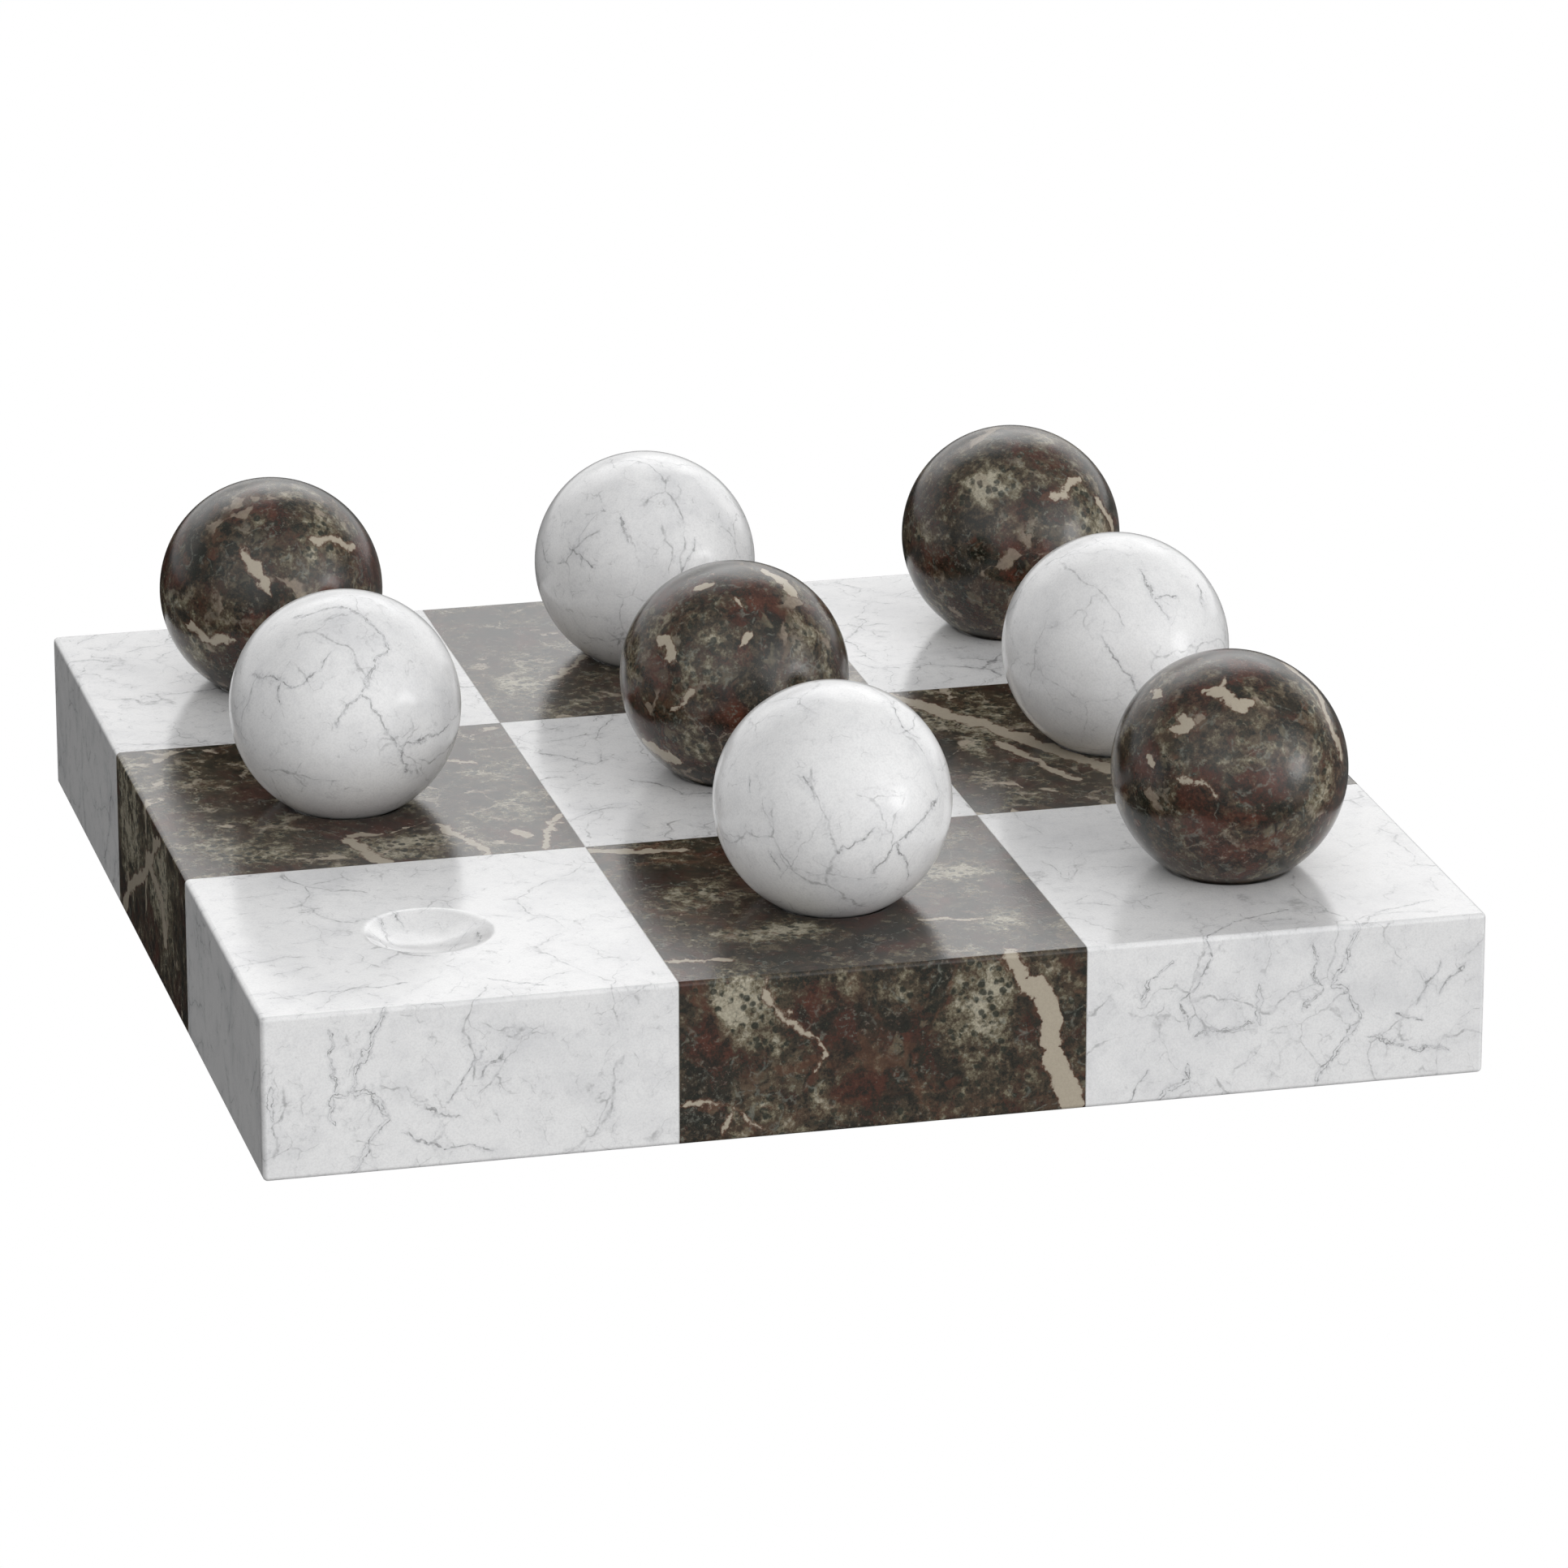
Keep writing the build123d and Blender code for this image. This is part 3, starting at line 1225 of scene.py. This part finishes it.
@dataclass
class Studio:
    """The white studio round the set: floor, soft surrounding light, softboxes and camera."""

    floor_reach: float = 6.0
    floor_gap: float = 0.0002  # between the floor and the pads, so that they don't flicker
    paper: float = 1.0  # radiance of the backdrop as the camera sees it
    above: float = 0.34  # radiance of the room above the horizon, between the panels
    below: float = 0.13
    camera_place: Triple = (-0.4665, -1.9242, 0.7119)
    camera_pitch: float = 18.79  # degrees below level
    camera_yaw: float = 13.99  # degrees to the right of straight ahead
    lens: float = 189.4
    sensor: float = 36.0
    panels: tuple[Panel, ...] = (
        Panel(0.0, 12.0, 0.72, 10.0, 30.0, stands=True),
        Panel(45.0, 12.0, 0.82, 10.0, 30.0, stands=True),
        Panel(-45.0, 12.0, 0.42, 10.0, 30.0, stands=True),
        Panel(20.0, 33.0, 1.3, 8.0, 22.0),
        Panel(-20.0, 33.0, 0.9, 8.0, 22.0),
        Panel(0.0, 45.0, 1.0, 8.0, 25.0),
        Panel(45.0, 35.0, 0.25, 10.0, 28.0),
        Panel(180.0, 12.0, 0.42, 10.0, 45.0),
        Panel(180.0, 40.0, 0.22, 10.0, 45.0),
        Panel(135.0, 12.0, 0.85, 10.0, 40.0),
        Panel(135.0, 40.0, 0.33, 10.0, 40.0),
        Panel(-135.0, 12.0, 0.2, 10.0, 40.0),
        Panel(-135.0, 40.0, 0.5, 10.0, 40.0),
        Panel(0.0, 90.0, 0.13, 15.0, 40.0),
        Panel(180.0, -35.0, 0.14, 15.0, 50.0),
        Panel(90.0, -35.0, 0.12, 15.0, 50.0),
        Panel(-14.0, -20.0, -0.11, 13.0, 28.0),
        Panel(126.0, 7.5, 0.45, 20.0, 35.0),
        Panel(126.0, 7.5, 3.6, 7.0, 13.0),
    )

    def make(self) -> None:
        """Makes the camera, the floor and the light."""
        self.make_camera()
        self.make_floor()
        self.make_light()
        bpy.context.scene.view_settings.view_transform = "Standard"

    def make_camera(self) -> None:
        """Adds the camera and makes it the scene's own."""
        camera = bpy.data.cameras.new("camera")
        camera.sensor_width = self.sensor
        camera.lens = self.lens
        camera.clip_end = 50.0
        holder = bpy.data.objects.new("camera", camera)
        holder.location = self.camera_place
        holder.rotation_euler = (
            math.radians(90 - self.camera_pitch),
            0.0,
            math.radians(-self.camera_yaw),
        )
        bpy.context.scene.collection.objects.link(holder)
        bpy.context.scene.camera = holder

    def make_floor(self) -> None:
        """Adds a pale, evenly lit paper floor, which can be seen through from below."""
        mesh = bmesh.new()
        down = Matrix.Translation((0.0, 0.0, -self.floor_gap))
        bmesh.ops.create_grid(mesh, x_segments=1, y_segments=1, size=self.floor_reach, matrix=down)
        data = bpy.data.meshes.new("floor_mesh")
        mesh.to_mesh(data)
        mesh.free()
        floor = bpy.data.objects.new("floor", data)
        material = bpy.data.materials.new("floor_paper")
        tree = Tree(material)
        glow = tree.add(
            "ShaderNodeEmission", {}, {"Color": (1, 1, 1, 1), "Strength": self.paper}
        )
        clear = tree.add("ShaderNodeBsdfTransparent")
        under = tree.add("ShaderNodeNewGeometry", output="Backfacing")
        both = tree.add("ShaderNodeMixShader", {}, {0: under, 1: glow, 2: clear})
        tree.add("ShaderNodeOutputMaterial", {}, {"Surface": both})
        data.materials.append(material)
        floor.visible_diffuse = False
        floor.visible_glossy = False
        floor.visible_shadow = False
        bpy.context.scene.collection.objects.link(floor)

    def make_light(self) -> None:
        """Adds the soft light of the room, which the camera sees as plain white paper."""
        world = bpy.data.worlds.new("studio")
        bpy.context.scene.world = world
        tree = Tree(world)
        way = tree.add("ShaderNodeTexCoord", output="Generated")
        height = tree.vector("DOT_PRODUCT", way, (0.0, 0.0, 1.0), 1)
        glow = tree.ramp(height, -0.03, 0.03) * (self.above - self.below) + self.below
        for panel in self.panels:
            glow = glow + panel.glow(tree, way)
        room = tree.add("ShaderNodeBackground", {}, {"Color": (1, 1, 1, 1), "Strength": glow})
        paper = tree.add("ShaderNodeBackground", {}, {"Color": (1, 1, 1, 1), "Strength": self.paper})
        seen = tree.add("ShaderNodeLightPath", output="Is Camera Ray")
        both = tree.add("ShaderNodeMixShader", {}, {0: seen, 1: room, 2: paper})
        tree.add("ShaderNodeOutputWorld", {}, {"Surface": both})


def joined(points: Iterable[Triple], into: Triple, half_width: float) -> tuple[Vein, ...]:
    """Lays veins from each point of a surface to the next, which run down into the stone."""
    points = list(points)
    return tuple(Vein.joining(start, end, into, half_width) for start, end in zip(points, points[1:]))


def down_front(half_width: float, *spots: Spot) -> tuple[Vein, ...]:
    """Lays veins over a block's front face, through spots of X and Z."""
    points = [(x, -HALF_BLOCK, z) for x, z in spots]
    return joined(points, (0.0, 1.0, 0.0), half_width)


def along_top(half_width: float, *spots: Spot) -> tuple[Vein, ...]:
    """Lays veins over a block's top face, through spots of X and Y."""
    points = [(x, y, 0.0) for x, y in spots]
    return joined(points, (0.0, 0.0, -1.0), half_width)


def down_left(half_width: float, *spots: Spot) -> tuple[Vein, ...]:
    """Lays veins over a block's left face, through spots of Y and Z."""
    points = [(-HALF_BLOCK, y, z) for y, z in spots]
    return joined(points, (1.0, 0.0, 0.0), half_width)


def on_ball(bearing: float, height: float) -> Triple:
    """Finds a point of a ball's surface.

    Args:
        bearing: Degrees round from the side that faces the player, towards the right.
        height: Degrees above the middle.

    Returns:
        The point, in millimetres from the ball's centre.
    """
    turn, rise = math.radians(bearing), math.radians(height)
    level = BALL_RADIUS * math.cos(rise)
    return (level * math.sin(turn), -level * math.cos(turn), BALL_RADIUS * math.sin(rise))


def round_ball(half_width: float, *spots: Spot) -> tuple[Vein, ...]:
    """Lays veins over a ball, through spots of bearing and height.

    Args:
        half_width: Half the width of the veins, in millimetres.
        spots: Bearings and heights, in degrees.

    Returns:
        The veins, which run in towards the ball's centre.
    """
    points = [on_ball(*spot) for spot in spots]
    veins: tuple[Vein, ...] = ()
    for pair in zip(points, points[1:]):
        inwards = tuple(-sum(axis) for axis in zip(*pair))
        veins += joined(pair, inwards, half_width)
    return veins


BLOCK_CUTS = {
    "white_block_front_left": Cut(
        (10, 40, 5),
        (12, 0, 30),
        veins=(
            *down_front(0.4, (-20, 1), (-27, -14), (-29, -20), (-33, -21), (-33, -28)),
            *down_front(0.4, (-29, -20), (-24, -21), (-20, -27), (-24, -34), (-30, -41)),
            *down_front(0.2, (-34, -4), (-33, -20)),
            *down_front(0.5, (-48, -17), (-48, -26)),
            *down_front(HAIRLINE, (4, -12), (-6, -25)),
            *down_front(HAIRLINE, (8, -12), (3, -20)),
            *down_front(HAIRLINE, (-12, -26), (-2, -29)),
            *down_front(HAIRLINE, (-16, -32), (-7, -36), (5, -38)),
            *along_top(0.2, (-10.5, 13), (-7.5, 0)),
            *along_top(HAIRLINE, (-5.5, 15), (-4.5, 9)),
            *along_top(HAIRLINE, (12.5, 0), (10.5, -9)),
            *along_top(HAIRLINE, (-46, -37), (-12, -35)),
            *along_top(HAIRLINE, (6, -36), (20, -44)),
        ),
        cracks=0.7,
    ),
    "white_block_front_right": Cut(
        (310, 90, 45),
        (0, 25, 80),
        veins=(
            *down_front(0.4, (18, 1), (15, -8), (11, -15), (16, -18), (19, -24)),
            *down_front(0.4, (19, -24), (16, -28), (11, -34), (7, -41)),
            *down_front(0.2, (6, -3), (8, -15), (5, -21)),
            *down_front(HAIRLINE, (-20, 0), (-19, -6), (-22, -10), (-27, -17), (-24, -23)),
            *down_front(0.5, (-7, -13), (-7, -23)),
            *down_front(0.2, (-8, -23), (-23, -25)),
            *down_front(0.3, (-28, -6), (-34, -9), (-37, -15)),
            *down_front(0.4, (-24, -32), (-24, -36), (-30, -37), (-32, -41)),
            *down_front(HAIRLINE, (-35, -33), (-39, -40)),
            *down_front(HAIRLINE, (39, -11), (32, -22)),
            *down_front(HAIRLINE, (45, -12), (38, -20)),
            *down_front(HAIRLINE, (27, -24), (35, -26)),
            *down_front(0.2, (21, -28), (31, -32), (42, -35)),
            *along_top(HAIRLINE, (-20, -50), (-12, -42), (4, -36)),
            *along_top(0.2, (18, -50), (26, -42), (40, -38)),
        ),
        cracks=0.55,
    ),
    "white_block_middle_centre": Cut((530, 20, 85), (40, 15, 10)),
    "white_block_back_left": Cut((170, 640, 15), (70, 0, 140)),
    "white_block_back_right": Cut((730, 240, 65), (20, 60, 200)),
    "dark_block_front_centre": Cut(
        (80, 10, 130),
        (0, 10, 20),
        veins=(
            *down_front(1.3, (31, 1), (35, -8)),
            *down_front(2.9, (35, -7), (42, -16), (40, -25), (48, -42)),
            *down_front(0.8, (-29, -4), (-23, -12), (-16, -17)),
            *down_front(HAIRLINE, (-16, -17), (-15, -21), (-17, -26)),
            *down_front(HAIRLINE, (-37, -32), (-39, -39)),
            *down_front(0.2, (-49, -31), (-38, -32), (-30, -39)),
            *along_top(1.7, (-52, 47), (-26, 41)),
            *along_top(0.7, (-50, -34), (-34, -38)),
            *along_top(0.7, (17, -21), (31, -24)),
        ),
        patches=(
            Patch((23, -50, -14), (10, 20, 16), 1.4),
            Patch((-33, -50, -9), (11, 16, 12), 1.3),
            Patch((0, -50, -22), (20, 16, 15), -0.8),
            Patch((-44, -50, -24), (9, 16, 14), -0.6),
            Patch((28, 4, 0), (17, 15, 12), 0.6),
            Patch((32, 11, 0), (13, 8, 6), 1.9),
            Patch((36, 36, 0), (12, 9, 12)),
            Patch((38, -24, 0), (9, 10, 6), 0.9),
            Patch((-22, -21, 0), (16, 7, 6), 1.5),
            Patch((-36, 6, 0), (11, 10, 6), 1.4),
            Patch((-38, 24, 0), (12, 8, 6), -1.2),
            Patch((-19, -38, 0), (11, 7, 6), -1.6),
            Patch((8, -29, 0), (12, 8, 6), -1.2),
            Patch((20, 34, 0), (9, 9, 6), -1.4),
            Patch((44, -4, 0), (8, 9, 6), -1.2),
        ),
        seams=0.0,
    ),
    "dark_block_middle_left": Cut(
        (450, 330, 25),
        (30, 0, 60),
        veins=(
            *along_top(1.3, (18, -24), (22, -36), (27, -50)),
            *along_top(0.9, (50, -24), (44, -36), (40, -50)),
            *along_top(0.9, (22, 28), (38, 20)),
            *along_top(1.8, (-6, -30), (-3, -40), (0, -52)),
            *down_left(1.8, (-14, -2), (10, -18), (30, -29), (44, -40)),
            *down_left(1.9, (4, -14), (-14, -17), (-20, -27)),
        ),
        patches=(
            Patch((3, -39, 0), (17, 13, 12), 1.6),
            Patch((-34, -24, 0), (22, 24, 12), 0.8),
            Patch((36, -6, 0), (22, 44, 10), 0.4),
            Patch((30, -8, 0), (12, 10, 6), -1.3),
            Patch((24, 36, 0), (12, 7, 6), 1.4),
            Patch((-50, 32, -12), (16, 20, 18), 1.9),
            Patch((-50, -12, -14), (16, 26, 14), 1.9),
            Patch((-50, -26, -28), (16, 20, 14), 0.8),
        ),
    ),
    "dark_block_middle_right": Cut(
        (620, 510, 75),
        (0, 45, 110),
        veins=(
            *along_top(2.6, (-48, 49), (-29, 18), (-7, -26)),
            *along_top(1.1, (-30, 4), (-18, -30)),
        ),
        patches=(
            Patch((-34, 20, 0), (18, 34, 12), 0.9),
            Patch((-10, -38, 0), (30, 14, 10), 0.6),
            Patch((-16, -8, 0), (10, 8, 6), 1.6),
            Patch((-44, 4, 0), (8, 16, 6), -1.3),
        ),
    ),
    "dark_block_back_centre": Cut(
        (240, 770, 105),
        (60, 30, 0),
        veins=along_top(0.8, (-16, 0), (-30, -18)),
        patches=(
            Patch((-30, -10, 0), (30, 46, 10), 0.4),
            Patch((-38, -22, 0), (8, 10, 6), 1.6),
            Patch((-30, 22, 0), (14, 9, 6), -1.5),
            Patch((-42, 4, 0), (9, 8, 6), -1.2),
        ),
    ),
}

BALL_CUTS = {
    "white_ball_front_centre": Cut(
        (905, 15, 35),
        (10, 20, 30),
        veins=(
            *round_ball(0.14, (49, 10), (18, -6), (3, -20)),
            *round_ball(FINE_HAIRLINE, (8, 5), (-13, -8)),
            *round_ball(FINE_HAIRLINE, (18, -6), (32, -29)),
            *round_ball(FINE_HAIRLINE, (62, 60), (46, 48), (54, 39)),
            *round_ball(FINE_HAIRLINE, (-30, 31), (-24, 18)),
            *round_ball(FINE_HAIRLINE, (-64, 24), (-58, 16)),
            *round_ball(FINE_HAIRLINE, (-45, -10), (-41, -21)),
        ),
        cracks=0.55,
    ),
    "white_ball_middle_left": Cut(
        (35, 905, 55),
        (30, 50, 70),
        veins=(
            *round_ball(0.2, (-70, 60), (0, 73), (21, 45), (10, 37), (-2, 24), (-17, 8)),
            *round_ball(0.14, (-2, 24), (17, -6), (53, -2)),
            *round_ball(FINE_HAIRLINE, (17, -6), (25, -24)),
            *round_ball(FINE_HAIRLINE, (-73, 25), (-49, 27), (-36, 27), (-26, 36), (-20, 44)),
            *round_ball(FINE_HAIRLINE, (-49, 27), (-46, 17)),
        ),
        cracks=0.6,
    ),
    "white_ball_middle_right": Cut(
        (435, 605, 95),
        (80, 10, 120),
        veins=(
            *round_ball(0.14, (6, 58), (12, 40), (14, 26)),
            *round_ball(FINE_HAIRLINE, (12, 40), (26, 42)),
            *round_ball(FINE_HAIRLINE, (56, 42), (46, 30)),
            *round_ball(FINE_HAIRLINE, (-26, 22), (-8, 2), (2, -22)),
        ),
        cracks=0.5,
    ),
    "white_ball_back_centre": Cut(
        (635, 405, 15),
        (50, 70, 20),
        veins=(
            *round_ball(0.14, (-30, 42), (-22, 26)),
            *round_ball(FINE_HAIRLINE, (-58, 20), (-40, 12)),
            *round_ball(FINE_HAIRLINE, (16, 25), (3, 0)),
        ),
        cracks=0.7,
    ),
    "dark_ball_front_right": Cut(
        (205, 305, 615),
        (0, 30, 60),
        veins=(
            *round_ball(1.7, (-37, 56), (-23, 56), (-14, 48), (0, 52)),
            *round_ball(0.7, (-26, 66), (-32, 56)),
            *round_ball(1.3, (-55, 40), (-43, 36), (-55, 31)),
            *round_ball(1.3, (-88, 48), (-77, 48)),
            *round_ball(1.3, (-64, 18), (-60, 14)),
            *round_ball(0.3, (-43, 12), (-33, 11), (-24, 5)),
            *round_ball(1.3, (82, 63), (73, 49), (54, 28), (55, 9)),
        ),
        patches=(Patch(on_ball(34, 8), (6, 8, 13), 1.3),),
        clasts=(
            Patch(on_ball(-14, -20), (15, 12, 10)),
            Patch(on_ball(-2, 10), (9, 9, 6)),
            Patch(on_ball(-48, 50), (7, 7, 5)),
            Patch(on_ball(4, 71), (9, 8, 6)),
        ),
        seams=0.5,
    ),
    "dark_ball_middle_centre": Cut(
        (505, 105, 715),
        (40, 0, 90),
        veins=(
            *round_ball(1.6, (-56, 62), (-44, 67)),
            *round_ball(1.8, (65, 75), (58, 63), (52, 52)),
            *round_ball(0.9, (-12, 59), (-8, 54)),
            *round_ball(1.1, (-5, 40), (-10, 34)),
            *round_ball(1.6, (-62, 30), (-48, 23)),
            *round_ball(0.4, (-43, -2), (-32, 10)),
            *round_ball(2.2, (-81, -30), (-51, -34)),
        ),
        patches=(
            Patch(on_ball(-34, 29), (10, 10, 9), 0.5),
            Patch(on_ball(-14, -12), (13, 10, 10), -0.8),
        ),
        clasts=(
            Patch(on_ball(-12, 49), (3.5, 3.5, 3.5)),
            Patch(on_ball(-9, 28), (3.5, 3.5, 4)),
            Patch(on_ball(-24, -2), (11, 9, 9)),
            Patch(on_ball(20, 55), (8, 8, 8)),
        ),
        seams=0.5,
    ),
    "dark_ball_back_left": Cut(
        (805, 505, 415),
        (20, 60, 10),
        veins=(
            *round_ball(1.2, (-30, 40), (-12, 14)),
            *round_ball(0.9, (20, 40), (50, 30)),
            *round_ball(0.9, (-60, -8), (-30, -14)),
        ),
        patches=(Patch(on_ball(30, 40), (10, 10, 8)),),
        clasts=(Patch(on_ball(-14, -6), (10, 9, 9)), Patch(on_ball(26, 8), (7, 7, 6))),
        seams=0.5,
    ),
    "dark_ball_back_right": Cut(
        (105, 805, 515),
        (70, 20, 130),
        veins=(
            *round_ball(1.0, (10, 34), (40, 40)),
            *round_ball(0.9, (44, 30), (56, 6)),
        ),
        patches=(
            Patch(on_ball(-30, 40), (9, 9, 8)),
            Patch(on_ball(36, 20), (8, 9, 12)),
        ),
        clasts=(Patch(on_ball(-6, 4), (10, 9, 8)),),
        seams=0.5,
    ),
}


def main() -> None:
    """Builds the set and its studio."""
    logging.basicConfig(level=logging.INFO, format="%(message)s")
    marble = {Stone.WHITE: WhiteMarble(), Stone.DARK: DarkMarble()}
    Studio().make()
    Board(cuts=BLOCK_CUTS).make(marble, Felt(), Adhesive())
    BallSet(cuts=BALL_CUTS).make(marble)


if __name__ == "__main__":
    main()
